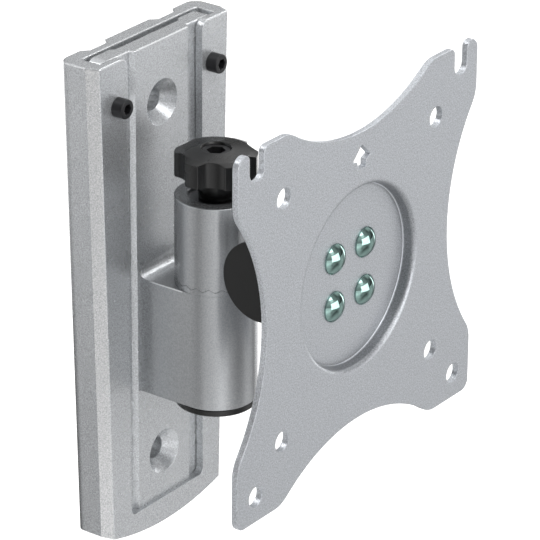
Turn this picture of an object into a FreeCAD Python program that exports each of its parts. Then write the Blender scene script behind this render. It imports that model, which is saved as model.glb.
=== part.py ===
import FreeCAD
import Part
import math
import os

# Tilting wall bracket. Millimetres, +X to the right when facing the wall, +Y into the wall, +Z up.
# The origin is on the wall, midway between the two wall screws.

# Wall rail: a cast channel, open at its top end and narrower towards the bottom
rail_height = 157.65
rail_depth = 14.2
rail_top_half_width = 32.1
side_slope = 0.0277
rail_chamfer_width = 1.7
rail_chamfer_depth = 3.95
rail_rear_radius = 4.0
rail_bottom_radius = 93.0
rail_edge_radius = 0.4
lip_thickness = 2.5
back_wall = 4.85
side_wall = 4.9
cavity_rear_radius = 1.0
window_half_width = 17.8
window_top_radius = 3.0
window_low_radius = 2.0
pocket_floor_rise = 8.3
groove_inner_half_width = 10.25
groove_outer_half_width = 21.85
groove_depth = 2.05

# Screws through the carrier and the rail into the wall
top_screw_drop = 19.85
low_screw_rise = 14.8
wall_hole_radius = 3.5
rail_sink_radius = 6.0
carrier_sink_radius = 7.2

# Carrier: a cast plate that drops into the rail, with the arm and the lower knuckle
carrier_face_recess = 1.25
carrier_face_half_width = 12.5
carrier_face_slope = 1.05
flange_front_gap = 0.2
flange_thickness = 5.2
flange_side_clearance = 0.8
flange_top_radius = 3.0
flange_low_radius = 1.0
back_recess_half_width = 15.0
back_recess_depth = 1.25
carrier_boss_radius = 7.0
carrier_boss_gap = 0.1
arm_fillet = 3.5
arm_low_fillet = 0.9

# Clamp screws through the rail's lips
clamp_screw_x = 22.5
clamp_screw_drop = 13.9
clamp_head_radius = 2.95
clamp_head_height = 3.7
clamp_shank_radius = 2.0
clamp_tip_gap = 0.1
clamp_hex_flats = 3.0
clamp_hex_depth = 2.2

# Vertical pivot. The two gaps say how the free depth is shared out between the rail and the head,
# and between the head and the yoke's ears.
rail_to_head_gap = 6.2
head_to_ear_gap = 5.73
knuckle_radius = 12.41
knuckle_top_z = 5.4
knuckle_bottom_z = -31.75
swivel_gap = 0.05
bush_spigot_radius = 8.0
bush_spigot_length = 13.0
bush_nose_radius = 6.5
bush_nose_height = 6.0
bush_flange = 1.15
pivot_bolt_radius = 3.0
pivot_bolt_length = 70.0
pivot_head_radius = 5.0
pivot_head_height = 6.0
pivot_hex_flats = 5.0
pivot_hex_depth = 3.0
pivot_nut_flats = 10.0
pivot_nut_height = 5.0
running_gap = 0.05
bore_gap = 0.1
bolt_tip_chamfer = 0.5
screw_edge_radius = 0.4

# Toothed ring at the seam between the knuckle and the head
tooth_count = 20
tooth_height = 1.0
tooth_gap = 0.12
crown_inner_radius = 8.6
crown_relief = 0.4

# Bottom cap
cap_radius = 12.3
cap_thickness = 1.95
cap_reveal_radius = 11.6
cap_reveal = 0.25
cap_plug_radius = 9.0
cap_plug_wall = 1.6
cap_plug_height = 2.9
cap_pocket_depth = 3.2
cap_edge_radius = 0.5

# Swivelling head
head_top_z = 33.45
head_rim_radius = 0.3
head_recess_radius = 8.5
head_recess_depth = 2.0
washer_radius = 8.2
washer_thickness = 1.0
neck_half_width = 4.5
neck_half_height = 8.5
neck_root_half_height = 11.2
neck_fillet = 5.0
neck_overlap = 1.0
tongue_radius = 10.5
tongue_half_width = 11.4

# Star knob
knob_radius = 12.3
knob_lobes = 6
knob_turn = -60.0
knob_hub_radius = 5.3
knob_hub_height = 6.3
knob_skirt_height = 7.55
knob_crown_height = 1.6
knob_shoulder_radius = 10.2
knob_shoulder_drop = 0.75
knob_socket_radius = 4.65
knob_socket_floor_radius = 4.2
knob_socket_depth = 0.8
scallop_radius = 6.24
scallop_depth = 2.1
lobe_edge_radius = 0.6
knob_edge_radius = 0.8
knob_rim_radius = 0.2
knob_crown_radius = 3.2

# Tilt joint
head_centre_z = 20.45
tilt_axis_to_face = 21.1
ear_radius = 12.4
ear_thickness = 7.6
yoke_base_thickness = 4.3
ear_edge_radius = 0.5
ear_seat_wall = 3.2
ear_counterbore_radius = 7.5
tilt_bolt_radius = 3.0
tilt_bolt_length = 35.0
tilt_head_radius = 5.0
tilt_head_height = 4.0
tilt_hex_flats = 4.0
tilt_hex_depth = 2.2
tilt_nut_flats = 10.0
tilt_nut_height = 3.2
spring_washer_radius = 6.2
spring_washer_thickness = 0.7
spring_washer_height = 1.0
friction_disc_radius = 9.5
friction_disc_thickness = 1.0
end_cap_radius = 12.37
end_cap_thickness = 0.8
end_cap_edge_radius = 0.25
end_cap_plug_wall = 1.0
end_cap_plug_length = 2.5

# Screen plate
plate_front_reach = 84.45
plate_thickness = 2.0
plate_side_margin = 8.73
plate_top_margin = 5.98
plate_low_margin = 8.16
plate_waist = 45.06
waist_radius = 60.0
waist_blend_radius = 10.0
plate_corner_radius = 3.3
plate_edge_radius = 0.25
inner_hole_spacing = 75.0
outer_hole_spacing = 100.0
screen_hole_radius = 3.2
slot_mouth_radius = 2.0
arrow_apex_rise = 41.2
arrow_tip_rise = 37.0
arrow_neck_rise = 36.2
arrow_foot_rise = 32.7
arrow_half_width = 4.3
arrow_stem_half_width = 2.0
arrow_corner_radius = 0.3

# Pressed dish in the middle of the plate, and its four screws
dish_floor_radius = 27.4
dish_wall_slant = 0.6
dish_depth = 3.8
dish_rim_radius = 1.5
dish_crease_radius = 0.15
dish_back_radius = 2.0
dish_back_blend_radius = 1.0
dish_blank_radius = 34.0
plate_screw_spacing = 15.0
plate_screw_radius = 2.5
plate_screw_length = 6.0
plate_screw_hole_gap = 0.25
screw_head_radius = 4.65
screw_head_height = 2.75
screw_head_skirt = 0.5

# Values that follow from the ones above
wall_screw_spacing = rail_height - pocket_floor_rise - top_screw_drop - low_screw_rise
rail_top_z = wall_screw_spacing / 2 + top_screw_drop
rail_bottom_z = rail_top_z - rail_height
pocket_floor_z = rail_bottom_z + pocket_floor_rise
rail_front_y = -rail_depth
lip_rear_y = rail_front_y + lip_thickness
cavity_rear_y = -back_wall
carrier_face_y = rail_front_y + carrier_face_recess
flange_front_y = lip_rear_y + flange_front_gap
flange_rear_y = flange_front_y + flange_thickness
clamp_screw_z = rail_top_z - clamp_screw_drop
tilt_reach = plate_front_reach - tilt_axis_to_face
arm_air = tilt_reach - ear_radius - 2 * knuckle_radius - rail_depth
rail_side_share = rail_to_head_gap / (rail_to_head_gap + head_to_ear_gap)
pivot_reach = rail_depth + arm_air * rail_side_share + knuckle_radius
pivot_y = -pivot_reach
ring_bottom_z = knuckle_top_z + swivel_gap
tooth_root_z = ring_bottom_z + bush_flange
head_bottom_z = tooth_root_z + tooth_gap
bush_nose_top_z = tooth_root_z + bush_nose_height
washer_top_z = head_top_z - head_recess_depth + washer_thickness
skirt_low_z = washer_top_z + knob_hub_height
skirt_high_z = skirt_low_z + knob_skirt_height
knob_top_z = skirt_high_z + knob_crown_height
pivot_head_top_z = knob_top_z - knob_socket_depth
pivot_head_low_z = pivot_head_top_z - pivot_head_height
pivot_bolt_end_z = pivot_head_low_z - pivot_bolt_length
cap_pocket_z = knuckle_bottom_z + cap_pocket_depth
pivot_nut_top_z = cap_pocket_z + pivot_nut_height + bore_gap
tilt_y = -tilt_reach
ear_inner_x = tongue_half_width + friction_disc_thickness
ear_outer_x = ear_inner_x + ear_thickness
ear_seat_x = ear_inner_x + ear_seat_wall
plate_half_width = outer_hole_spacing / 2 + plate_side_margin
plate_top_rise = outer_hole_spacing / 2 + plate_top_margin
plate_low_drop = outer_hole_spacing / 2 + plate_low_margin
plate_front_y = -plate_front_reach
plate_rear_y = plate_front_y + plate_thickness
dish_front_y = plate_front_y + dish_depth
dish_rear_y = dish_front_y + plate_thickness
overshoot = 1.0

UP = FreeCAD.Vector(0, 0, 1)
DOWN = FreeCAD.Vector(0, 0, -1)
RIGHT = FreeCAD.Vector(1, 0, 0)
LEFT = FreeCAD.Vector(-1, 0, 0)
TO_WALL = FreeCAD.Vector(0, 1, 0)
TO_ROOM = FreeCAD.Vector(0, -1, 0)


def on_front(y):
    """Places outline points (x, z) on the upright plane at this depth."""
    return lambda u, v: FreeCAD.Vector(u, y, v)


def on_side(x):
    """Places outline points (y, z) on the upright plane at this x."""
    return lambda u, v: FreeCAD.Vector(x, u, v)


def on_level(z):
    """Places outline points (x, y) on the level plane at this height."""
    return lambda u, v: FreeCAD.Vector(u, v, z)


def around(centre, axis, across):
    """Places profile points (radius, length) in a half plane through an axis."""
    return lambda u, v: centre + across * u + axis * v


def arc_or_line(start, middle, end):
    """The edge from start to end through middle, straight if the three are in line."""
    if (middle - start).cross(end - start).Length < 1e-9:
        return Part.makeLine(start, end)
    return Part.Arc(start, middle, end).toShape()


def corner_points(before, here, after, radius):
    """Start, middle and end of the tangent arc that rounds one corner."""
    if radius == 0:
        return here, here, here
    behind = (before - here).normalize()
    ahead = (after - here).normalize()
    half_angle = math.acos(max(-1.0, min(1.0, behind.dot(ahead)))) / 2
    reach = radius / math.tan(half_angle)
    inward = (behind + ahead).normalize()
    middle = here + inward * (radius / math.sin(half_angle) - radius)
    return here + behind * reach, middle, here + ahead * reach


def rounded_wire(corners, place):
    """Closed wire through corners (u, v, radius), each rounded by its radius."""
    points = [FreeCAD.Vector(u, v, 0) for u, v, radius in corners]
    turns = []
    for number, corner in enumerate(corners):
        after = points[(number + 1) % len(points)]
        turns.append(corner_points(points[number - 1], points[number], after, corner[2]))
    edges = []
    for number, (start, middle, end) in enumerate(turns):
        if (end - start).Length > 1e-6:
            edges.append(Part.Arc(place(*start[:2]), place(*middle[:2]), place(*end[:2])).toShape())
        following = turns[(number + 1) % len(turns)][0]
        if (following - end).Length > 1e-6:
            edges.append(Part.makeLine(place(*end[:2]), place(*following[:2])))
    return Part.Wire(edges)


def rounded_face(corners, place):
    """Flat face inside rounded_wire."""
    return Part.Face(rounded_wire(corners, place))


def mirrored(half, middle=()):
    """A right half outline and its mirror image, with any points on the middle line between them."""
    return half + list(middle) + [(-u, v, radius) for u, v, radius in reversed(half)]


def rod(radius, centre, direction, length):
    """Round bar from a point along a direction."""
    return Part.makeCylinder(radius, length, centre, direction)


def tube(outer, inner, centre, direction, length):
    """Round bar with a round hole through it."""
    return rod(outer, centre, direction, length).cut(rod(inner, centre, direction, length))


def hexagon(flats, centre, direction, across, length):
    """Six-sided bar, measured across its flats, with a corner towards across."""
    corner = flats / math.sqrt(3)
    sideways = direction.cross(across)
    points = []
    for number in range(7):
        angle = math.radians(60 * number)
        points.append(centre + across * (corner * math.cos(angle)) + sideways * (corner * math.sin(angle)))
    return Part.Face(Part.makePolygon(points)).extrude(direction * length)


def turned(corners, centre, axis, across):
    """Solid of revolution from a profile (radius, length, corner radius)."""
    return rounded_face(corners, around(centre, axis, across)).revolve(centre, axis, 360)


def edges_where(shape, test):
    """The edges whose middle point and ends pass a test."""
    return [edge for edge in shape.Edges if test(edge)]


def edge_at(edge, axis, value):
    """True if the whole edge lies in the plane where one coordinate has a value."""
    box = edge.BoundBox
    low = (box.XMin, box.YMin, box.ZMin)[axis]
    high = (box.XMax, box.YMax, box.ZMax)[axis]
    return abs(low - value) < 1e-4 and abs(high - value) < 1e-4


def rail_half_width(z):
    """Half the rail's width at a height: the sides taper towards the bottom."""
    return rail_top_half_width - side_slope * (rail_top_z - z)


def rail_section(z):
    """The rail's closed outer outline at one height."""
    side = rail_half_width(z)
    half = [
        (groove_inner_half_width, 0, 0),
        (groove_inner_half_width + groove_depth, -groove_depth, 0),
        (groove_outer_half_width - groove_depth, -groove_depth, 0),
        (groove_outer_half_width, 0, 0),
        (side, 0, rail_rear_radius),
        (side, rail_front_y + rail_chamfer_depth, 0),
        (side - rail_chamfer_width, rail_front_y, 0),
    ]
    return rounded_wire(mirrored(half), on_level(z))


def cavity_section(z):
    """The outline of the pocket behind the lips at one height."""
    side = rail_half_width(z) - side_wall
    half = [
        (side, cavity_rear_y, cavity_rear_radius),
        (side, lip_rear_y, 0),
    ]
    return rounded_wire(mirrored(half), on_level(z))


def open_slot(half_width, low_z, low_radius, high_z, mouth_radius, y, depth):
    """Cutter for a slot that is open at the top and flares there with round corners."""
    place = on_front(y)
    bend = math.sqrt(0.5)
    edges = []
    shoulder = high_z - mouth_radius
    flare = half_width + mouth_radius
    inner = half_width - low_radius
    low = low_z + low_radius
    corner = low_radius * bend
    lip = mouth_radius * bend
    above = high_z + overshoot
    if inner > 1e-6:
        edges.append(Part.makeLine(place(-inner, low_z), place(inner, low_z)))
    edges.append(Part.Arc(place(inner, low_z), place(inner + corner, low - corner),
                          place(half_width, low)).toShape())
    edges.append(Part.makeLine(place(half_width, low), place(half_width, shoulder)))
    edges.append(Part.Arc(place(half_width, shoulder), place(flare - lip, shoulder + lip),
                          place(flare, high_z)).toShape())
    edges.append(Part.makeLine(place(flare, high_z), place(flare, above)))
    edges.append(Part.makeLine(place(flare, above), place(-flare, above)))
    edges.append(Part.makeLine(place(-flare, above), place(-flare, high_z)))
    edges.append(Part.Arc(place(-flare, high_z), place(lip - flare, shoulder + lip),
                          place(-half_width, shoulder)).toShape())
    edges.append(Part.makeLine(place(-half_width, shoulder), place(-half_width, low)))
    edges.append(Part.Arc(place(-half_width, low), place(-inner - corner, low - corner),
                          place(-inner, low_z)).toShape())
    return Part.Face(Part.Wire(edges)).extrude(TO_WALL * depth)


def countersink(x, z, face_y, sink_radius, bore_radius):
    """Cutter for a 90 degree countersunk hole entered from the room side."""
    mouth = FreeCAD.Vector(x, face_y, z)
    cone_depth = sink_radius - bore_radius
    cone = Part.makeCone(sink_radius + overshoot, bore_radius, cone_depth + overshoot,
                         mouth + TO_ROOM * overshoot, TO_WALL)
    return cone.fuse(rod(bore_radius, mouth, TO_WALL, rail_depth + overshoot))


def make_wall_rail():
    blank = Part.makeLoft([rail_section(rail_bottom_z - overshoot), rail_section(rail_top_z)], True, True)
    arc_centre = FreeCAD.Vector(0, overshoot, rail_bottom_z + rail_bottom_radius)
    rounding = rod(rail_bottom_radius, arc_centre, TO_ROOM, rail_depth + 2 * overshoot)
    upper = Part.makeBox(4 * rail_top_half_width, rail_depth + 2 * overshoot, rail_height,
                         FreeCAD.Vector(-2 * rail_top_half_width, rail_front_y - overshoot, arc_centre.z))
    body = blank.common(rounding.fuse(upper))
    outer_ends = edges_where(
        body, lambda edge: edge_at(edge, 2, rail_top_z) or edge_at(edge, 1, rail_front_y))
    body = body.makeFillet(rail_edge_radius, outer_ends)
    cavity_ends = [cavity_section(pocket_floor_z), cavity_section(rail_top_z + overshoot)]
    cavity = Part.makeLoft(cavity_ends, True, True)
    body = body.cut(cavity)
    body = body.cut(open_slot(window_half_width, pocket_floor_z, window_low_radius, rail_top_z,
                              window_top_radius, rail_front_y - overshoot, lip_thickness + 2 * overshoot))
    for side in (-1, 1):
        tip = FreeCAD.Vector(side * clamp_screw_x, rail_front_y - overshoot, clamp_screw_z)
        body = body.cut(rod(clamp_shank_radius + running_gap, tip, TO_WALL, lip_thickness + 2 * overshoot))
        body = body.cut(countersink(0, side * wall_screw_spacing / 2, cavity_rear_y, rail_sink_radius,
                                    wall_hole_radius))
    return body


def make_carrier():
    def flange_half_width(z):
        return rail_half_width(z) - side_wall - flange_side_clearance

    flange = rounded_face(mirrored([
        (flange_half_width(pocket_floor_z), pocket_floor_z, flange_low_radius),
        (flange_half_width(rail_top_z), rail_top_z, flange_top_radius),
    ]), on_front(flange_front_y)).extrude(TO_WALL * flange_thickness)
    face_foot = carrier_face_half_width + carrier_face_slope
    face = rounded_face(mirrored([
        (face_foot, flange_front_y + overshoot, 0),
        (face_foot, flange_front_y, 0),
        (carrier_face_half_width, carrier_face_y, 0),
    ]), on_level(pocket_floor_z)).extrude(UP * (rail_top_z - pocket_floor_z))
    arm = rounded_face([
        (flange_front_y, knuckle_bottom_z - arm_low_fillet - overshoot, 0),
        (flange_front_y, knuckle_top_z + arm_fillet + overshoot, 0),
        (carrier_face_y, knuckle_top_z + arm_fillet + overshoot, 0),
        (carrier_face_y, knuckle_top_z, arm_fillet),
        (pivot_y, knuckle_top_z, 0),
        (pivot_y, knuckle_bottom_z, 0),
        (carrier_face_y, knuckle_bottom_z, arm_low_fillet),
        (carrier_face_y, knuckle_bottom_z - arm_low_fillet - overshoot, 0),
    ], on_side(-knuckle_radius)).extrude(RIGHT * 2 * knuckle_radius)
    axis_low = FreeCAD.Vector(0, pivot_y, knuckle_bottom_z)
    axis_top = FreeCAD.Vector(0, pivot_y, knuckle_top_z)
    knuckle = rod(knuckle_radius, axis_low, UP, knuckle_top_z - knuckle_bottom_z)
    body = flange.fuse([face, arm, knuckle]).removeSplitter()
    recess = rounded_face(mirrored([
        (back_recess_half_width + back_recess_depth + overshoot, flange_rear_y + overshoot, 0),
        (back_recess_half_width, flange_rear_y - back_recess_depth, 0),
    ]), on_level(pocket_floor_z - overshoot)).extrude(UP * (rail_height + 2 * overshoot))
    body = body.cut(recess)
    boss_length = cavity_rear_y - carrier_boss_gap - flange_front_y
    for side in (-1, 1):
        screw_z = side * wall_screw_spacing / 2
        boss = rod(carrier_boss_radius, FreeCAD.Vector(0, flange_front_y, screw_z), TO_WALL, boss_length)
        body = body.fuse(boss)
        body = body.cut(countersink(0, screw_z, carrier_face_y, carrier_sink_radius, wall_hole_radius))
    spigot_bore = rod(bush_spigot_radius + running_gap, axis_top, DOWN, bush_spigot_length + bore_gap)
    bolt_bore = rod(pivot_bolt_radius + bore_gap, axis_low, UP, knuckle_top_z - knuckle_bottom_z)
    cap_pocket = rod(cap_plug_radius + running_gap, axis_low, UP, cap_pocket_depth)
    nut_pocket = hexagon(pivot_nut_flats + 2 * bore_gap, axis_low, UP, RIGHT,
                         pivot_nut_top_z - knuckle_bottom_z)
    return body.cut([spigot_bore, bolt_bore, cap_pocket, nut_pocket])


def make_clamp_screw(side):
    lip_point = FreeCAD.Vector(side * clamp_screw_x, rail_front_y, clamp_screw_z)
    head = turned([
        (0, 0, 0),
        (clamp_head_radius, 0, 0),
        (clamp_head_radius, clamp_head_height, screw_edge_radius),
        (0, clamp_head_height, 0),
    ], lip_point, TO_ROOM, RIGHT)
    shank_length = flange_front_y - clamp_tip_gap - rail_front_y
    socket = hexagon(clamp_hex_flats, lip_point + TO_ROOM * (clamp_head_height - clamp_hex_depth), TO_ROOM,
                     RIGHT, clamp_hex_depth + overshoot)
    return head.fuse(rod(clamp_shank_radius, lip_point, TO_WALL, shank_length)).cut(socket)


def crown_cutters(middle_z, towards, first_angle):
    """Wedges that leave radial teeth: each is a pyramid with its point on the pivot axis."""
    reach = knuckle_radius + overshoot
    swing = math.radians(180 / tooth_count)
    rise = tooth_height / 2 * reach / knuckle_radius
    wide = reach * math.tan(swing)
    far = rise + 4 * tooth_height
    point = FreeCAD.Vector(0, 0, middle_z)
    section = [
        FreeCAD.Vector(reach, 0, middle_z - towards * rise),
        FreeCAD.Vector(reach, wide, middle_z + towards * rise),
        FreeCAD.Vector(reach, wide, middle_z + towards * far),
        FreeCAD.Vector(reach, -wide, middle_z + towards * far),
        FreeCAD.Vector(reach, -wide, middle_z + towards * rise),
    ]
    faces = [Part.Face(Part.makePolygon(section + section[:1]))]
    for number, corner in enumerate(section):
        faces.append(Part.Face(Part.makePolygon([point, section[number - 1], corner, point])))
    wedge = Part.makeSolid(Part.makeShell(faces))
    if wedge.Volume < 0:
        wedge.reverse()
    cutters = []
    for number in range(tooth_count):
        copy = wedge.copy()
        copy.rotate(FreeCAD.Vector(0, 0, 0), UP, first_angle + number * 360 / tooth_count)
        copy.translate(FreeCAD.Vector(0, pivot_y, 0))
        cutters.append(copy)
    return cutters


def make_toothed_bush():
    axis = FreeCAD.Vector(0, pivot_y, ring_bottom_z)
    ring = rod(knuckle_radius, axis, UP, bush_flange + tooth_height)
    middle_z = tooth_root_z + tooth_height / 2
    ring = ring.cut(crown_cutters(middle_z, 1, -90))
    inner_top = FreeCAD.Vector(0, pivot_y, tooth_root_z - crown_relief)
    ring = ring.cut(rod(crown_inner_radius, inner_top, UP, tooth_height + crown_relief + overshoot))
    nose = rod(bush_nose_radius, axis, UP, bush_nose_top_z - ring_bottom_z)
    spigot = rod(bush_spigot_radius, axis, DOWN, bush_spigot_length + swivel_gap)
    low = axis + DOWN * (bush_spigot_length + swivel_gap)
    bore = rod(pivot_bolt_radius + running_gap, low, UP, bush_nose_top_z - low.z + overshoot)
    return ring.fuse([nose, spigot]).cut(bore).removeSplitter()


def make_swivel_head():
    top = FreeCAD.Vector(0, pivot_y, head_top_z)
    low = FreeCAD.Vector(0, pivot_y, head_bottom_z)
    post = turned([
        (0, 0, 0),
        (knuckle_radius, 0, 0),
        (knuckle_radius, head_top_z - head_bottom_z, head_rim_radius),
        (0, head_top_z - head_bottom_z, 0),
    ], low, UP, RIGHT)
    middle_z = head_bottom_z + tooth_height / 2
    post = post.cut(crown_cutters(middle_z, -1, -90 + 180 / tooth_count))
    tongue_start = FreeCAD.Vector(-tongue_half_width, tilt_y, head_centre_z)
    tongue = rod(tongue_radius, tongue_start, RIGHT, 2 * tongue_half_width)
    neck_flare_y = pivot_y - knuckle_radius
    neck_start_y = tilt_y + tongue_radius
    neck = rounded_face([
        (tilt_y, head_centre_z - neck_half_height, 0),
        (tilt_y, head_centre_z + neck_half_height, 0),
        (neck_start_y, head_centre_z + neck_half_height, neck_fillet),
        (neck_flare_y + neck_overlap, head_centre_z + neck_root_half_height, neck_fillet),
        (pivot_y, head_centre_z + neck_root_half_height, 0),
        (pivot_y, head_centre_z - neck_root_half_height, 0),
        (neck_flare_y + neck_overlap, head_centre_z - neck_root_half_height, neck_fillet),
        (neck_start_y, head_centre_z - neck_half_height, neck_fillet),
    ], on_side(-neck_half_width)).extrude(RIGHT * 2 * neck_half_width)
    body = post.fuse([tongue, neck]).removeSplitter()
    crown_relief_bore = rod(crown_inner_radius, low + DOWN * overshoot, UP,
                            tooth_height + crown_relief + overshoot)
    nose_bore = rod(bush_nose_radius + running_gap, low, UP,
                    bush_nose_top_z + tooth_gap + crown_relief - low.z)
    bolt_bore = rod(pivot_bolt_radius + running_gap, low, UP, head_top_z - head_bottom_z)
    recess = rod(head_recess_radius, top, DOWN, head_recess_depth)
    tilt_bore = rod(tilt_bolt_radius + running_gap, tongue_start, RIGHT, 2 * tongue_half_width)
    return body.cut([crown_relief_bore, nose_bore, bolt_bore, recess, tilt_bore])


def make_knob_washer():
    seat = FreeCAD.Vector(0, pivot_y, head_top_z - head_recess_depth)
    return tube(washer_radius, pivot_bolt_radius + running_gap, seat, UP, washer_thickness)


def star_face(z):
    """Outline of the knob: lobes on a circle between round scallops, with eased edges."""
    place = on_level(z)
    scallop_centre = knob_radius - scallop_depth + scallop_radius
    to_origin = knob_radius - lobe_edge_radius
    to_scallop = scallop_radius + lobe_edge_radius
    cosine = (to_origin ** 2 + scallop_centre ** 2 - to_scallop ** 2) / (2 * to_origin * scallop_centre)
    swing = math.acos(cosine)
    step = 2 * math.pi / knob_lobes

    def polar(radius, angle):
        return FreeCAD.Vector(radius * math.cos(angle), radius * math.sin(angle), 0)

    def edge(start, middle, end):
        shift = [place(corner.x, corner.y + pivot_y) for corner in (start, middle, end)]
        return Part.Arc(*shift).toShape()

    edges = []
    for number in range(knob_lobes):
        angle = math.radians(knob_turn - 90) + number * step
        scallop = polar(scallop_centre, angle)
        ends = []
        for side in (-1, 1):
            ease = polar(to_origin, angle + side * swing)
            on_lobe = polar(knob_radius, angle + side * swing)
            on_scallop = scallop + (ease - scallop) * (scallop_radius / to_scallop)
            outward = ((on_lobe - ease) + (on_scallop - ease)).normalize()
            ends.append((on_lobe, ease + outward * lobe_edge_radius, on_scallop))
        edges.append(edge(*ends[0]))
        edges.append(edge(ends[0][2], polar(knob_radius - scallop_depth, angle), ends[1][2]))
        edges.append(edge(*reversed(ends[1])))
        edges.append(edge(ends[1][0], polar(knob_radius, angle + step / 2),
                          polar(knob_radius, angle + step - swing)))
    return Part.Face(Part.Wire(edges))


def make_knob_grip():
    foot = FreeCAD.Vector(0, pivot_y, washer_top_z)
    crown_rise = knob_top_z - washer_top_z
    skirt_rise = skirt_high_z - washer_top_z
    crown = turned([
        (0, knob_hub_height, 0),
        (knob_radius + overshoot, knob_hub_height, 0),
        (knob_radius + overshoot, skirt_rise - knob_edge_radius, 0),
        (knob_radius, skirt_rise, knob_rim_radius),
        (knob_shoulder_radius, crown_rise - knob_shoulder_drop, knob_crown_radius),
        (knob_socket_radius, crown_rise, knob_rim_radius),
        (knob_socket_floor_radius, crown_rise - knob_socket_depth, 0),
        (0, crown_rise - knob_socket_depth, 0),
    ], foot, UP, RIGHT)
    star = star_face(skirt_low_z - overshoot).extrude(UP * (crown_rise + 2 * overshoot))
    lobes = star.common(crown)
    under_edges = edges_where(lobes, lambda edge: edge_at(edge, 2, skirt_low_z))
    lobes = lobes.makeFillet(knob_edge_radius, under_edges)
    hub = turned([
        (0, 0, 0),
        (knob_hub_radius, 0, knob_edge_radius),
        (knob_hub_radius, knob_hub_height + overshoot, 0),
        (0, knob_hub_height + overshoot, 0),
    ], foot, UP, RIGHT)
    body = lobes.fuse(hub).removeSplitter()
    head_seat = FreeCAD.Vector(0, pivot_y, pivot_head_low_z)
    body = body.cut(rod(pivot_bolt_radius + running_gap, foot, UP, crown_rise))
    return body.cut(rod(pivot_head_radius + running_gap, head_seat, UP, pivot_head_height))


def make_pivot_bolt():
    end = FreeCAD.Vector(0, pivot_y, pivot_bolt_end_z)
    shank = turned([
        (0, 0, 0),
        (pivot_bolt_radius - bolt_tip_chamfer, 0, 0),
        (pivot_bolt_radius, bolt_tip_chamfer, 0),
        (pivot_bolt_radius, pivot_bolt_length, 0),
        (pivot_head_radius, pivot_bolt_length, 0),
        (pivot_head_radius, pivot_bolt_length + pivot_head_height, screw_edge_radius),
        (0, pivot_bolt_length + pivot_head_height, 0),
    ], end, UP, RIGHT)
    socket_floor = FreeCAD.Vector(0, pivot_y, pivot_head_top_z - pivot_hex_depth)
    return shank.cut(hexagon(pivot_hex_flats, socket_floor, UP, RIGHT, pivot_hex_depth + overshoot))


def make_pivot_nut():
    seat = FreeCAD.Vector(0, pivot_y, pivot_nut_top_z)
    nut = hexagon(pivot_nut_flats, seat, DOWN, RIGHT, pivot_nut_height)
    return nut.cut(rod(pivot_bolt_radius + running_gap, seat, DOWN, pivot_nut_height))


def make_bottom_cap():
    seat = FreeCAD.Vector(0, pivot_y, knuckle_bottom_z)
    disc_high = cap_reveal
    disc_low = cap_reveal + cap_thickness
    return turned([
        (0, disc_low, 0),
        (cap_radius, disc_low, cap_edge_radius),
        (cap_radius, disc_high, 0),
        (cap_reveal_radius, disc_high, 0),
        (cap_reveal_radius, 0, 0),
        (cap_plug_radius, 0, 0),
        (cap_plug_radius, -cap_plug_height, 0),
        (cap_plug_radius - cap_plug_wall, -cap_plug_height, 0),
        (cap_plug_radius - cap_plug_wall, 0, 0),
        (0, 0, 0),
    ], seat, DOWN, RIGHT)


def make_tilt_yoke():
    rear_y = tilt_y + ear_radius
    outline = rounded_face([
        (dish_rear_y, head_centre_z - ear_radius, 0),
        (rear_y, head_centre_z - ear_radius, ear_radius),
        (rear_y, head_centre_z + ear_radius, ear_radius),
        (dish_rear_y, head_centre_z + ear_radius, 0),
    ], on_side(-ear_outer_x))
    block = outline.extrude(RIGHT * 2 * ear_outer_x)
    ear_rims = edges_where(
        block, lambda edge: edge_at(edge, 0, -ear_outer_x) or edge_at(edge, 0, ear_outer_x))
    block = block.makeFillet(ear_edge_radius, ear_rims)
    gap_front_y = dish_rear_y + yoke_base_thickness
    gap = Part.makeBox(2 * ear_inner_x, rear_y - gap_front_y + overshoot, 2 * ear_radius + 2 * overshoot,
                       FreeCAD.Vector(-ear_inner_x, gap_front_y, head_centre_z - ear_radius - overshoot))
    body = block.cut(gap)
    axis_left = FreeCAD.Vector(-ear_outer_x, tilt_y, head_centre_z)
    body = body.cut(rod(tilt_bolt_radius + running_gap, axis_left, RIGHT, 2 * ear_outer_x))
    for side, inward in ((-1, RIGHT), (1, LEFT)):
        face = FreeCAD.Vector(side * ear_outer_x, tilt_y, head_centre_z)
        body = body.cut(rod(ear_counterbore_radius, face, inward, ear_outer_x - ear_seat_x))
    for x, z in screw_grid(plate_screw_spacing):
        hole = FreeCAD.Vector(x, dish_rear_y, z)
        body = body.cut(rod(plate_screw_radius + running_gap, hole, TO_WALL, yoke_base_thickness))
    return body


def make_tilt_bolt():
    seat = FreeCAD.Vector(-ear_seat_x, tilt_y, head_centre_z)
    body = turned([
        (0, tilt_head_height, 0),
        (tilt_head_radius, tilt_head_height, screw_edge_radius),
        (tilt_head_radius, 0, 0),
        (tilt_bolt_radius, 0, 0),
        (tilt_bolt_radius, bolt_tip_chamfer - tilt_bolt_length, 0),
        (tilt_bolt_radius - bolt_tip_chamfer, -tilt_bolt_length, 0),
        (0, -tilt_bolt_length, 0),
    ], seat, LEFT, UP)
    socket_floor = seat + LEFT * (tilt_head_height - tilt_hex_depth)
    return body.cut(hexagon(tilt_hex_flats, socket_floor, LEFT, UP, tilt_hex_depth + overshoot))


def make_tilt_nut():
    seat = FreeCAD.Vector(ear_seat_x + spring_washer_height, tilt_y, head_centre_z)
    nut = hexagon(tilt_nut_flats, seat, RIGHT, UP, tilt_nut_height)
    return nut.cut(rod(tilt_bolt_radius + running_gap, seat, RIGHT, tilt_nut_height))


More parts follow.
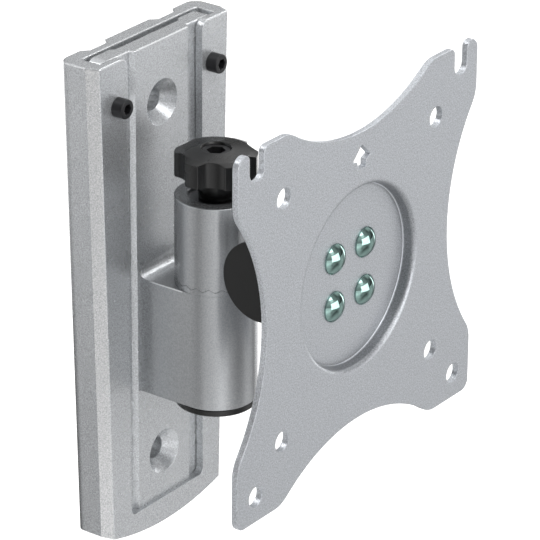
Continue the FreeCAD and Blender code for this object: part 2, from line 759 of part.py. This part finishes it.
def make_spring_washer():
    seat = FreeCAD.Vector(ear_seat_x, tilt_y, head_centre_z)
    dish = spring_washer_height - spring_washer_thickness
    bore = tilt_bolt_radius + bore_gap
    return turned([
        (bore, dish, 0),
        (spring_washer_radius, 0, 0),
        (spring_washer_radius, spring_washer_thickness, 0),
        (bore, spring_washer_height, 0),
    ], seat, RIGHT, UP)


def make_friction_disc(side):
    start_x = tongue_half_width if side > 0 else -tongue_half_width - friction_disc_thickness
    return tube(friction_disc_radius, tilt_bolt_radius + running_gap,
                FreeCAD.Vector(start_x, tilt_y, head_centre_z), RIGHT, friction_disc_thickness)


def make_end_cap(side):
    outward = RIGHT if side > 0 else LEFT
    seat = FreeCAD.Vector(side * ear_outer_x, tilt_y, head_centre_z)
    plug_radius = ear_counterbore_radius - running_gap
    return turned([
        (0, 0, 0),
        (plug_radius - end_cap_plug_wall, 0, 0),
        (plug_radius - end_cap_plug_wall, -end_cap_plug_length, 0),
        (plug_radius, -end_cap_plug_length, 0),
        (plug_radius, 0, 0),
        (end_cap_radius, 0, 0),
        (end_cap_radius, end_cap_thickness, end_cap_edge_radius),
        (0, end_cap_thickness, 0),
    ], seat, outward, UP)


def screw_grid(spacing):
    """Centres (x, z) of a square of four holes about the plate's middle."""
    half = spacing / 2
    return [(x, head_centre_z + z) for z in (half, -half) for x in (-half, half)]


def plate_outline():
    """Plate with a shallow arc cut out of each side between its corners."""
    place = on_front(plate_front_y)
    arc_centre = FreeCAD.Vector(0, plate_waist + waist_radius, 0)
    edges = []
    reaches = (plate_low_drop, plate_half_width, plate_top_rise, plate_half_width)
    for quarter, reach in enumerate(reaches):
        before = reaches[quarter - 1]
        after = reaches[(quarter + 1) % len(reaches)]
        turn = FreeCAD.Rotation(FreeCAD.Vector(0, 0, 1), 90 * quarter + 180)

        def put(corner):
            spot = turn.multVec(corner)
            return place(spot.x, spot.y + head_centre_z)

        def local(t, n):
            return FreeCAD.Vector(-t, n, 0)

        drop = arc_centre.y - (reach - waist_blend_radius)
        flat_end = math.sqrt((waist_radius + waist_blend_radius) ** 2 - drop ** 2)
        run = []
        for side in (-1, 1):
            blend = local(side * flat_end, reach - waist_blend_radius)
            towards = (arc_centre - blend).normalize()
            touch = blend + towards * waist_blend_radius
            between = (towards + FreeCAD.Vector(0, 1, 0)).normalize()
            run.append((local(side * flat_end, reach), blend + between * waist_blend_radius, touch))
        start = local(plate_corner_radius - before, reach)
        finish = local(after - plate_corner_radius, reach)
        edges.append(Part.makeLine(put(start), put(run[0][0])))
        edges.append(arc_or_line(*[put(corner) for corner in run[0]]))
        edges.append(arc_or_line(put(run[0][2]), put(local(0, plate_waist)), put(run[1][2])))
        edges.append(arc_or_line(*[put(corner) for corner in reversed(run[1])]))
        edges.append(Part.makeLine(put(run[1][0]), put(finish)))
        inner = plate_corner_radius * (1 - math.sqrt(0.5))
        edges.append(arc_or_line(put(finish), put(local(after - inner, reach - inner)),
                                 put(local(after, reach - plate_corner_radius))))
    return Part.Face(Part.Wire(edges))


def make_vesa_plate():
    centre = FreeCAD.Vector(0, 0, head_centre_z)
    sheet = plate_outline().extrude(TO_WALL * plate_thickness)
    for side in (-1, 1):
        slot = open_slot(screen_hole_radius, head_centre_z + outer_hole_spacing / 2 - screen_hole_radius,
                         screen_hole_radius, head_centre_z + plate_top_rise, slot_mouth_radius,
                         plate_front_y - overshoot, plate_thickness + 2 * overshoot)
        slot.translate(RIGHT * (side * outer_hole_spacing / 2))
        sheet = sheet.cut(slot)
    arrow_side = [
        (arrow_stem_half_width, head_centre_z + arrow_foot_rise, 0),
        (arrow_stem_half_width, head_centre_z + arrow_neck_rise, arrow_corner_radius),
        (arrow_half_width, head_centre_z + arrow_tip_rise, arrow_corner_radius),
    ]
    apex = (0, head_centre_z + arrow_apex_rise, arrow_corner_radius)
    arrow = rounded_face(mirrored(arrow_side, [apex]), on_front(plate_front_y - overshoot))
    sheet = sheet.cut(arrow.extrude(TO_WALL * (plate_thickness + 2 * overshoot)))
    rims = edges_where(sheet, lambda edge: edge_at(edge, 1, plate_front_y) or edge_at(edge, 1, plate_rear_y))
    sheet = sheet.makeFillet(plate_edge_radius, rims)
    sheet = sheet.cut(rod(dish_blank_radius, centre + TO_ROOM * (plate_front_reach + overshoot), TO_WALL,
                          plate_thickness + 2 * overshoot))
    wall_top = dish_floor_radius + dish_wall_slant
    back_wall_radius = wall_top + plate_thickness
    dish = turned([
        (0, dish_front_y, 0),
        (dish_floor_radius, dish_front_y, dish_crease_radius),
        (wall_top, plate_front_y, dish_rim_radius),
        (dish_blank_radius, plate_front_y, 0),
        (dish_blank_radius, plate_rear_y, 0),
        (back_wall_radius, plate_rear_y, dish_back_blend_radius),
        (dish_floor_radius + plate_thickness, dish_rear_y, dish_back_radius),
        (0, dish_rear_y, 0),
    ], centre, TO_WALL, RIGHT)
    body = sheet.fuse(dish).removeSplitter()
    lower = [(side * outer_hole_spacing / 2, head_centre_z - outer_hole_spacing / 2) for side in (-1, 1)]
    for x, z in screw_grid(inner_hole_spacing) + lower:
        start = FreeCAD.Vector(x, plate_front_y - overshoot, z)
        body = body.cut(rod(screen_hole_radius, start, TO_WALL, plate_thickness + 2 * overshoot))
    for x, z in screw_grid(plate_screw_spacing):
        start = FreeCAD.Vector(x, dish_front_y - overshoot, z)
        body = body.cut(rod(plate_screw_radius + plate_screw_hole_gap, start, TO_WALL,
                            plate_thickness + 2 * overshoot))
    return body


def make_plate_screw(x, z):
    seat = FreeCAD.Vector(x, dish_front_y, z)
    dome_height = screw_head_height - screw_head_skirt
    dome_radius = (screw_head_radius ** 2 + dome_height ** 2) / (2 * dome_height)
    swing = math.asin(screw_head_radius / dome_radius) / 2
    place = around(seat, TO_ROOM, RIGHT)
    middle = place(dome_radius * math.sin(swing),
                   screw_head_height - dome_radius + dome_radius * math.cos(swing))
    wire = Part.Wire([
        Part.makeLine(place(0, -plate_screw_length), place(plate_screw_radius, -plate_screw_length)),
        Part.makeLine(place(plate_screw_radius, -plate_screw_length), place(plate_screw_radius, 0)),
        Part.makeLine(place(plate_screw_radius, 0), place(screw_head_radius, 0)),
        Part.makeLine(place(screw_head_radius, 0), place(screw_head_radius, screw_head_skirt)),
        Part.Arc(place(screw_head_radius, screw_head_skirt), middle, place(0, screw_head_height)).toShape(),
        Part.makeLine(place(0, screw_head_height), place(0, -plate_screw_length)),
    ])
    return Part.Face(wire).revolve(seat, TO_ROOM, 360)


def make_parts():
    """Every piece by the name of its file."""
    parts = {
        "wall_rail": make_wall_rail(),
        "carrier": make_carrier(),
        "clamp_screw_left": make_clamp_screw(-1),
        "clamp_screw_right": make_clamp_screw(1),
        "toothed_bush": make_toothed_bush(),
        "swivel_head": make_swivel_head(),
        "knob_washer": make_knob_washer(),
        "knob_grip": make_knob_grip(),
        "pivot_bolt": make_pivot_bolt(),
        "pivot_nut": make_pivot_nut(),
        "bottom_cap": make_bottom_cap(),
        "tilt_yoke": make_tilt_yoke(),
        "tilt_bolt": make_tilt_bolt(),
        "tilt_nut": make_tilt_nut(),
        "tilt_spring_washer": make_spring_washer(),
        "friction_disc_left": make_friction_disc(-1),
        "friction_disc_right": make_friction_disc(1),
        "end_cap_left": make_end_cap(-1),
        "end_cap_right": make_end_cap(1),
        "vesa_plate": make_vesa_plate(),
    }
    for number, (x, z) in enumerate(screw_grid(plate_screw_spacing), start=1):
        parts["plate_screw_%d" % number] = make_plate_screw(x, z)
    return parts


os.makedirs("parts", exist_ok=True)
for name, shape in make_parts().items():
    if shape.ShapeType == "Compound" and len(shape.Solids) == 1:
        shape = shape.Solids[0]
    print("%-22s solids %d valid %s volume %.1f" % (name, len(shape.Solids), shape.isValid(), shape.Volume))
    shape.exportStep("parts/%s.step" % name)
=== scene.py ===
import math

import bpy
from mathutils import Matrix, Vector


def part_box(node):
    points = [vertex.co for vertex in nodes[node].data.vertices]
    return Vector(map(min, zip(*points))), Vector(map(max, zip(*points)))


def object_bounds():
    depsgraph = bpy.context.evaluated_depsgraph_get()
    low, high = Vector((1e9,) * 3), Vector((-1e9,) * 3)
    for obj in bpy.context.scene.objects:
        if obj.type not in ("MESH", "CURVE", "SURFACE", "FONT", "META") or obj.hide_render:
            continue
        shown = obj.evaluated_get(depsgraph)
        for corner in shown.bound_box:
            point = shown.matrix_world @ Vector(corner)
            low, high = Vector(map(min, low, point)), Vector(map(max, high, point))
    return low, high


# Metres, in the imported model's frame: +X to the right when facing the wall, +Y into the wall, +Z up.
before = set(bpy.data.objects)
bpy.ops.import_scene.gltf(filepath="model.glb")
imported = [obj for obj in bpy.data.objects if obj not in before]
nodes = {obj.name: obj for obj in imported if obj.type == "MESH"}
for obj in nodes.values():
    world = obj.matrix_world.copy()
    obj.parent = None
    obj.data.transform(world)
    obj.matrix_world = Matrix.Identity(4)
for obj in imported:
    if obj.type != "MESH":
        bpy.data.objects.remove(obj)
cad_low, cad_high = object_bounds()

MM = 0.001
BLACK = (0.0, 0.0, 0.0, 1.0)
WHITE = (1.0, 1.0, 1.0, 1.0)

# Camera of the photograph: its place, its axes before the roll, and its lens in millimetres
CAMERA_PLACE = Vector((-0.80463, -0.63938, 0.46703))
CAMERA_BACK = Vector((-0.73543, -0.53640, 0.41403))
CAMERA_RIGHT = Vector((0.58928, -0.80793, 0.0))
CAMERA_UP = Vector((0.33451, 0.24398, 0.91027))
CAMERA_ROLL = 0.00654
CAMERA_LENS = 249.6
SENSOR_WIDTH = 36.0
CLIP_NEAR = 0.01
CLIP_FAR = 50.0

# Floor, a plain sheet well below the bracket
FLOOR_DROP = 0.16
FLOOR_SIZE = 12.0
FLOOR_ROUGHNESS = 0.9
FLOOR_COLOUR = (0.8, 0.8, 0.8, 1.0)
# What the camera sees on the floor besides the light that falls on it
FLOOR_SHOWN = (0.45, 0.45, 0.45, 1.0)

# Studio light by direction. Each ring of soft round patches is given by its elevation, the angles within
# which a patch is full and beyond which it is gone, and the level of each patch by its azimuth from +X.
WORLD_RINGS = (
    (12, 3, 26, {0: 0.606, 120: 0.787, 210: 0.294, 240: 0.571, 270: 0.746, 300: 0.23, 330: 0.117}),
    (42, 5, 38, {0: 0.688, 45: 0.625, 90: 0.484, 225: 0.415, 270: 0.43, 315: 0.165}),
    (90, 8, 42, {0: 0.68}),
    (32, 5, 12, {-28.5: 0.184}),
    (35, 5, 14, {-97: 1.14}),
    (49, 5, 14, {126: 5.45}),
)
FLOOR_RINGS = (
    (-24.5, 1, 17, {0: 0.764, 15: 0.293, 30: 0.616, 45: 0.483, 60: 0.117, 75: 0.0387, 135: 0.27,
                    150: 0.0562, 180: 0.05, 195: 0.425, 225: 0.625, 240: 0.375, 255: 0.275, 315: 0.375}),
    (-48, 4, 36, {0: 0.0387, 135: 0.27, 180: 0.48, 225: 0.769, 270: 0.283, 315: 0.546}),
    (-90, 10, 35, {0: 0.647}),
    (-6, 3, 24, {0: 2, 30: 2, 60: 1.85, 90: 0.897, 120: 0.727, 150: 0.856, 180: 0.256, 210: 0.807,
                 240: 1.4, 270: 0.478, 300: 0.606, 330: 0.669}),
)
# Softboxes: azimuth, elevation, half width, half height and softness of the edges in degrees, and level
SOFTBOXES = (
    (-82.0, 4.0, 24.0, 15.0, 2.0, 3.4),
    (-102.0, 52.0, 13.0, 14.0, 2.0, 3.58),
    (3.0, 43.0, 13.0, 6.0, 1.5, 5.6),
    (-8.0, -2.0, 5.0, 12.0, 2.0, 3.28),
)

# Grain and clouds: a noise texture's middle range, the detail and roughness of each, the clouds' size in
# millimetres, and the samples of the rounded edges
NOISE_LOW = 0.3
NOISE_HIGH = 0.7
GRAIN_NOISE = {"Detail": 2.0, "Roughness": 0.6}
CLOUD_NOISE = {"Detail": 3.0, "Roughness": 0.55}
CLOUD_SIZE = 12.0
EDGE_SAMPLES = 6

# Sockets of a mix node that mixes colours
MIX_FACTOR = 0
MIX_LOW = 6
MIX_HIGH = 7
MIX_RESULT = 2

# Places where a finish changes or light and shade are painted, in millimetres: its mask rises from the first
# value to the second
rail_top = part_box("wall_rail")[1].z / MM
TOP_EDGE_DROP = (1.3, 1.0)
TOP_RIM_DROP = (0.5, 0.35)
ARM_Y = (-16.0, -20.0)
ARM_RIM_FRONT_Y = (-30.0, -29.0)
ARM_RIM_REAR_Y = (-17.0, -18.5)
ARM_RIM_Z = (4.9, 5.05)
KNUCKLE_Y = (-28.0, -31.0)
KNUCKLE_TOP_Z = (4.4, 4.9)
HEAD_RIM_Z = (33.0, 33.1)
HEAD_FACE_Z = (33.2, 33.3)
DISH_Z = 20.45
DISH_RIM_RING = (29.4, 1.2, 2.4)
DISH_WALL_RING = (27.6, 0.2, 1.25)
DISH_CREASE_RING = (27.28, 0.1, 0.2)
CREASE_X = (-15.0, 0.0)
# The rail's left chamfer, lightened by a painted highlight, by the azimuth it faces and the angles about it
CHAMFER_FACING = (-157.0, 0.0, 7.0, 12.0)
# How far up, or forward and back, the normal of a face points before a mask leaves it out
UPWARD = (0.5, 0.6)
DEPTHWARD = (0.3, 0.5)

# Finish of the castings: as cast on the rail and the carrier's plate, smoother on the arm and the head
CAST_COLOUR = (0.578, 0.594, 0.610)
SMOOTH_SHADE = 0.78
SMOOTH_COLOUR = [channel * SMOOTH_SHADE for channel in CAST_COLOUR]
CAST_BODY = {"metallic": 0.66, "grain": 0.42}
ROUGH_CAST = {"roughness": 0.26, "contrast": 0.3, "bump": 0.22, "edge": 0.2}
SMOOTH_CAST = {"roughness": 0.24, "contrast": 0.15, "bump": 0.1}
ARM = {"shade": SMOOTH_SHADE, "edge": 0.45, **SMOOTH_CAST}
# A painted highlight: a lighter, less grainy line along edges that catch the light
PAINTED_EDGE_HIGHLIGHT = {"shade": 1.68, "contrast": 0.05, "bump": 0.03}


def add(tree, kind, inputs=None, **settings):
    """A new shader node, with its settings and its inputs set or linked."""
    made = tree.nodes.new(kind)
    for name, value in settings.items():
        setattr(made, name, value)
    for name, value in (inputs or {}).items():
        if isinstance(value, bpy.types.NodeSocket):
            tree.links.new(value, made.inputs[name])
        else:
            made.inputs[name].default_value = value
    return made


def mixed(tree, factor, low, high):
    """Colour between two, by a factor."""
    inputs = {MIX_FACTOR: factor, MIX_LOW: low, MIX_HIGH: high}
    return add(tree, "ShaderNodeMix", inputs, data_type="RGBA").outputs[MIX_RESULT]


def ranged(tree, value, low, high, start=NOISE_LOW, end=NOISE_HIGH):
    """A number from low to high as a value goes from start to end, by default a noise's middle range."""
    return add(tree, "ShaderNodeMapRange", {
        "Value": value, "From Min": start, "From Max": end, "To Min": low, "To Max": high,
    }).outputs["Result"]


def eased(tree, value, start, end):
    """A smooth rise from zero to one as a value goes from start to end."""
    return add(tree, "ShaderNodeMapRange", {
        "Value": value, "From Min": start, "From Max": end,
    }, interpolation_type="SMOOTHSTEP").outputs["Result"]


def blend(tree, mask, low, high):
    """A number between two, by a mask from zero to one."""
    return ranged(tree, mask, low, high, 0.0, 1.0)


def maths(tree, operation, *values):
    """A number from others."""
    return add(tree, "ShaderNodeMath", dict(enumerate(values)), operation=operation).outputs[0]


def vectors(tree, operation, *values):
    """A vector maths node's outputs."""
    return add(tree, "ShaderNodeVectorMath", dict(enumerate(values)), operation=operation).outputs


def dot(tree, direction, towards):
    """Cosine of the angle between two directions."""
    return vectors(tree, "DOT_PRODUCT", direction, towards)["Value"]


def texture_place(tree, output):
    """The place, normal or direction at a point, by the name of its texture coordinate."""
    return add(tree, "ShaderNodeTexCoord").outputs[output]


def component(tree, vector, axis):
    """A vector's part along an axis."""
    return add(tree, "ShaderNodeSeparateXYZ", {"Vector": vector}).outputs[axis]


def noise(tree, place, size, settings):
    """A noise texture with features of a size in millimetres."""
    inputs = {"Vector": place, "Scale": 1 / (size * MM), **settings}
    return add(tree, "ShaderNodeTexNoise", inputs).outputs["Fac"]


def cosine(angle):
    """Cosine of an angle in degrees."""
    return math.cos(math.radians(angle))


def sine(angle):
    """Sine of an angle in degrees."""
    return math.sin(math.radians(angle))


def heading(azimuth, elevation=0.0):
    """Unit vector towards an azimuth from +X and an elevation, both in degrees."""
    flat = cosine(elevation)
    return (flat * cosine(azimuth), flat * sine(azimuth), sine(elevation))


def scaled(colour, factor):
    """A colour made lighter or darker."""
    return tuple(min(1.0, channel * factor) for channel in colour) + (1.0,)


def along(axis, start, end):
    """Mask that rises from zero to one between two places on an axis, in millimetres."""
    def mask(tree):
        value = component(tree, texture_place(tree, "Object"), axis)
        return ranged(tree, value, 0.0, 1.0, start * MM, end * MM)
    return mask


def below_top(start, end):
    """Mask that rises from zero to one between two drops below the rail's top, in millimetres."""
    return along("Z", rail_top - start, rail_top - end)


def ring(centre_z, radius, inner, outer):
    """Mask of a ring about X = 0 in the XZ plane, full within inner of its radius and gone beyond outer."""
    def mask(tree):
        flat = vectors(tree, "MULTIPLY", texture_place(tree, "Object"), (1.0, 0.0, 1.0))["Vector"]
        reach = vectors(tree, "DISTANCE", flat, (0.0, 0.0, centre_z * MM))["Value"]
        off = maths(tree, "ABSOLUTE", maths(tree, "SUBTRACT", reach, radius * MM))
        return ranged(tree, off, 1.0, 0.0, inner * MM, outer * MM)
    return mask


def facing(azimuth, elevation, inner, outer):
    """Mask of the faces turned towards a direction, in degrees."""
    def mask(tree):
        near = dot(tree, texture_place(tree, "Normal"), heading(azimuth, elevation))
        return ranged(tree, near, 0.0, 1.0, cosine(outer), cosine(inner))
    return mask


def upright(tree):
    """Mask of the faces that don't look up."""
    return ranged(tree, component(tree, texture_place(tree, "Normal"), "Z"), 1.0, 0.0, *UPWARD)


def sideways(tree):
    """Mask of the faces that look neither forward nor back."""
    depth = maths(tree, "ABSOLUTE", component(tree, texture_place(tree, "Normal"), "Y"))
    return ranged(tree, depth, 1.0, 0.0, *DEPTHWARD)


def within(*masks):
    """Mask where several overlap."""
    def mask(tree):
        share = masks[0](tree)
        for other in masks[1:]:
            share = maths(tree, "MULTIPLY", share, other(tree))
        return share
    return mask


def new_material(name):
    """A material, its node tree and its shader."""
    material = bpy.data.materials.new(name)
    material.use_nodes = True
    return material, material.node_tree, material.node_tree.nodes["Principled BSDF"]


def surface(name, colour, metallic, roughness, grain, contrast, bump,
            cloud=0.03, edge=0.25, zones=(), **fixed):
    """A material with fine grain, faint clouds in its gloss and softly rounded edges.

    grain and edge are in millimetres; contrast is the grain's share of the colour, cloud how far the
    roughness wanders, and fixed holds other inputs of the shader. Each zone is a mask and what changes in
    it: shade, a share of the colour, contrast, roughness, bump and edge.
    """
    material, tree, shader = new_material(name)
    place = texture_place(tree, "Object")
    fine = noise(tree, place, grain, GRAIN_NOISE)
    broad = noise(tree, place, CLOUD_SIZE, CLOUD_NOISE)
    speck = ranged(tree, fine, 0.0, 1.0)
    tone = mixed(tree, speck, scaled(colour, 1 - contrast), scaled(colour, 1 + contrast))
    gloss = ranged(tree, broad, roughness - cloud, roughness + cloud)
    strength = bump
    radius = edge * MM
    for mask, change in zones:
        share = mask(tree)
        shade = change.get("shade", 1.0)
        depth = change.get("contrast", contrast)
        if shade != 1.0 or depth != contrast:
            low = scaled(colour, shade * (1 - depth))
            high = scaled(colour, shade * (1 + depth))
            tone = mixed(tree, share, tone, mixed(tree, speck, low, high))
        if "roughness" in change:
            gloss = blend(tree, share, gloss, change["roughness"])
        if "bump" in change:
            strength = blend(tree, share, strength, change["bump"])
        if "edge" in change:
            radius = blend(tree, share, radius, change["edge"] * MM)
    tree.links.new(tone, shader.inputs["Base Color"])
    tree.links.new(gloss, shader.inputs["Roughness"])
    rounded = add(tree, "ShaderNodeBevel", {"Radius": radius}, samples=EDGE_SAMPLES).outputs["Normal"]
    grained = add(tree, "ShaderNodeBump", {
        "Strength": strength, "Distance": grain * MM, "Height": fine, "Normal": rounded,
    }).outputs["Normal"]
    tree.links.new(grained, shader.inputs["Normal"])
    shader.inputs["Metallic"].default_value = metallic
    for socket, value in fixed.items():
        shader.inputs[socket.replace("_", " ")].default_value = value
    return material


def dress(material, *names):
    """Gives CAD nodes a material in every slot."""
    for name in names:
        slots = nodes[name].data.materials
        for number in range(len(slots)):
            slots[number] = material


def make_camera():
    """The camera of the photograph."""
    data = bpy.data.cameras.new("camera")
    data.lens = CAMERA_LENS
    data.sensor_width = SENSOR_WIDTH
    data.clip_start = CLIP_NEAR
    data.clip_end = CLIP_FAR
    camera = bpy.data.objects.new("camera", data)
    bpy.context.scene.collection.objects.link(camera)
    right = (CAMERA_RIGHT + CAMERA_UP * CAMERA_ROLL).normalized()
    up = (CAMERA_UP - CAMERA_RIGHT * CAMERA_ROLL).normalized()
    turn = Matrix((right, up, CAMERA_BACK.normalized())).transposed()
    camera.matrix_world = Matrix.Translation(CAMERA_PLACE) @ turn.to_4x4()
    bpy.context.scene.camera = camera


def shone(tree, share, level):
    """Grey light of a level, by a share from zero to one."""
    light = {0: (level,) * 3, "Scale": share}
    return add(tree, "ShaderNodeVectorMath", light, operation="SCALE").outputs["Vector"]


def patch(tree, direction, azimuth, elevation, inner, outer, level):
    """Soft-edged round patch of light about one direction."""
    near = dot(tree, direction, heading(azimuth, elevation))
    return shone(tree, eased(tree, near, cosine(outer), cosine(inner)), level)


def banded(tree, direction, across, half_angle, softness):
    """One inside a band of directions about a plane, zero outside it."""
    offset = maths(tree, "ABSOLUTE", dot(tree, direction, across))
    return eased(tree, offset, sine(half_angle + softness), sine(half_angle - softness))


def softbox(tree, direction, azimuth, elevation, half_width, half_height, softness, level):
    """Rectangular light, upright about one direction."""
    towards = Vector(heading(azimuth, elevation))
    aside = Vector(heading(azimuth + 90.0))
    above = towards.cross(aside)
    ahead = dot(tree, direction, towards)
    share = maths(tree, "MULTIPLY", banded(tree, direction, aside, half_width, softness),
                  banded(tree, direction, above, half_height, softness))
    share = maths(tree, "MULTIPLY", share, maths(tree, "GREATER_THAN", ahead, 0.0))
    return shone(tree, share, level)


def studio(tree, direction, rings):
    """Light of the studio from a direction: soft patches and softboxes."""
    parts = [patch(tree, direction, azimuth, elevation, inner, outer, level)
             for elevation, inner, outer, levels in rings
             for azimuth, level in levels.items()]
    parts += [softbox(tree, direction, *place) for place in SOFTBOXES]
    whole = add(tree, "ShaderNodeVectorMath").outputs["Vector"]
    for part in parts:
        whole = vectors(tree, "ADD", whole, part)["Vector"]
    return whole


def ray_kinds(tree):
    """One for what the camera and transmission rays see, and one for what glossy rays see."""
    path = add(tree, "ShaderNodeLightPath").outputs
    return maths(tree, "MAXIMUM", path["Is Camera Ray"], path["Is Transmission Ray"]), path["Is Glossy Ray"]


def make_world():
    """White behind the object, and the studio as what lights it."""
    world = bpy.data.worlds.new("studio")
    world.use_nodes = True
    bpy.context.scene.world = world
    tree = world.node_tree
    tree.nodes.clear()
    light = studio(tree, texture_place(tree, "Generated"), WORLD_RINGS)
    seen = ray_kinds(tree)[0]
    colour = mixed(tree, seen, light, WHITE)
    background = add(tree, "ShaderNodeBackground", {"Color": colour, "Strength": 1.0})
    add(tree, "ShaderNodeOutputWorld", {"Surface": background.outputs["Background"]})


def make_floor():
    """A pale floor that keeps the object's shadow; glossy rays see the studio's lower half in it."""
    height = cad_low.z - FLOOR_DROP
    half = FLOOR_SIZE / 2
    mesh = bpy.data.meshes.new("floor")
    corners = [(-half, -half, height), (half, -half, height), (half, half, height), (-half, half, height)]
    mesh.from_pydata(corners, [], [(0, 1, 2, 3)])
    floor = bpy.data.objects.new("floor", mesh)
    bpy.context.scene.collection.objects.link(floor)
    material, tree, shader = new_material("floor")
    shader.inputs["Roughness"].default_value = FLOOR_ROUGHNESS
    shader.inputs["Specular IOR Level"].default_value = 0.0
    outward = vectors(tree, "NORMALIZE", texture_place(tree, "Object"))["Vector"]
    seen, glossy = ray_kinds(tree)
    tree.links.new(mixed(tree, glossy, FLOOR_COLOUR, BLACK), shader.inputs["Base Color"])
    shown = mixed(tree, seen, BLACK, FLOOR_SHOWN)
    lit = mixed(tree, glossy, shown, studio(tree, outward, FLOOR_RINGS))
    tree.links.new(lit, shader.inputs["Emission Color"])
    shader.inputs["Emission Strength"].default_value = 1.0
    mesh.materials.append(material)


bpy.context.scene.view_settings.view_transform = "Standard"
make_camera()
make_world()
make_floor()

# Both rims at the top of the rail and the carrier: a wider rounding, and a painted highlight, a lighter line
# under it
top_zones = [
    (below_top(*TOP_EDGE_DROP), {"edge": 0.5}),
    (within(below_top(*TOP_RIM_DROP), upright), PAINTED_EDGE_HIGHLIGHT),
]
cast_rail = surface("cast_rail", CAST_COLOUR, **CAST_BODY, **ROUGH_CAST, zones=[
    *top_zones,
    # The chamfer's colour is lighter here: a painted highlight
    (facing(*CHAMFER_FACING), {"shade": 1.38, "contrast": 0.3, "bump": 0.3}),
])
# The arm is darker and smoother, with a painted highlight line along its top and a sharp seam at the
# knuckle's top
arm_rim = within(along("Y", *ARM_RIM_FRONT_Y), along("Y", *ARM_RIM_REAR_Y), along("Z", *ARM_RIM_Z), upright)
cast_carrier = surface("cast_carrier", CAST_COLOUR, **CAST_BODY, **ROUGH_CAST, zones=[
    *top_zones,
    (along("Y", *ARM_Y), ARM),
    (arm_rim, PAINTED_EDGE_HIGHLIGHT),
    (within(along("Y", *KNUCKLE_Y), along("Z", *KNUCKLE_TOP_Z)), {"edge": 0.0}),
])
# The head's flat top is glossier and darkened by painted shade, inside a painted highlight along its rim
cast_head = surface("cast_head", SMOOTH_COLOUR, **CAST_BODY, **SMOOTH_CAST, zones=[
    (along("Z", *HEAD_FACE_Z), {"roughness": 0.1, "shade": 0.65}),
    (within(along("Z", *HEAD_RIM_Z), upright), {"shade": 1.35, "contrast": 0.05}),
])
cast_bush = surface("cast_bush", SMOOTH_COLOUR, **CAST_BODY, **SMOOTH_CAST, edge=0.0)
# The plate's cut edges are lightened by a painted highlight; its dish has a wide rounded rim, a wall darkened
# by painted shade and a painted highlight line at the edge of its floor, on the right half
plate_zones = [
    (sideways, {"shade": 1.42}),
    (ring(DISH_Z, *DISH_RIM_RING), {"edge": 1.1}),
    (ring(DISH_Z, *DISH_WALL_RING), {"shade": 0.55}),
    (within(ring(DISH_Z, *DISH_CREASE_RING), along("X", *CREASE_X)), {"shade": 1.45, "contrast": 0.05}),
]
coated = surface("coated_plate", (0.448, 0.464, 0.490), 0.63, 0.35, grain=0.42, contrast=0.3, bump=0.18,
                 zones=plate_zones)
zinc = surface("bright_zinc", (0.23, 0.345, 0.32), 1.0, 0.06, grain=0.8, contrast=0.02, bump=0.01, cloud=0.02,
               edge=0.15)
steel = surface("plain_steel", (0.50, 0.50, 0.51), 1.0, 0.3, grain=0.4, contrast=0.03, bump=0.03)
# The knob washer's steel is darkened: painted shade for the shadow under the knob
washer = surface("steel_with_painted_shade", (0.15, 0.15, 0.155), 0.9, 0.25, grain=0.4, contrast=0.05, bump=0.03)
oxide = surface("black_oxide", (0.028, 0.028, 0.03), 0.5, 0.38, grain=0.3, contrast=0.1, bump=0.04, edge=0.2)
plastic = surface("moulded_black", (0.009, 0.009, 0.009), 0.0, 0.26, grain=0.25, contrast=0.1, bump=0.05,
                  edge=0.3, Specular_IOR_Level=0.5)
cap = surface("cap_black", (0.034, 0.034, 0.034), 0.0, 0.6, grain=0.25, contrast=0.05, bump=0.02, edge=0.15,
              Specular_IOR_Level=0.2)
acetal = surface("acetal", (0.75, 0.74, 0.70), 0.0, 0.4, grain=0.4, contrast=0.02, bump=0.02)

dress(cast_rail, "wall_rail")
dress(cast_carrier, "carrier")
dress(cast_head, "swivel_head", "tilt_yoke")
dress(cast_bush, "toothed_bush")
dress(coated, "vesa_plate")
dress(zinc, "plate_screw_1", "plate_screw_2", "plate_screw_3", "plate_screw_4")
dress(washer, "knob_washer")
dress(steel, "pivot_nut", "tilt_bolt", "tilt_nut", "tilt_spring_washer")
dress(oxide, "clamp_screw_left", "clamp_screw_right", "pivot_bolt")
dress(plastic, "knob_grip", "bottom_cap")
dress(cap, "end_cap_left", "end_cap_right")
dress(acetal, "friction_disc_left", "friction_disc_right")
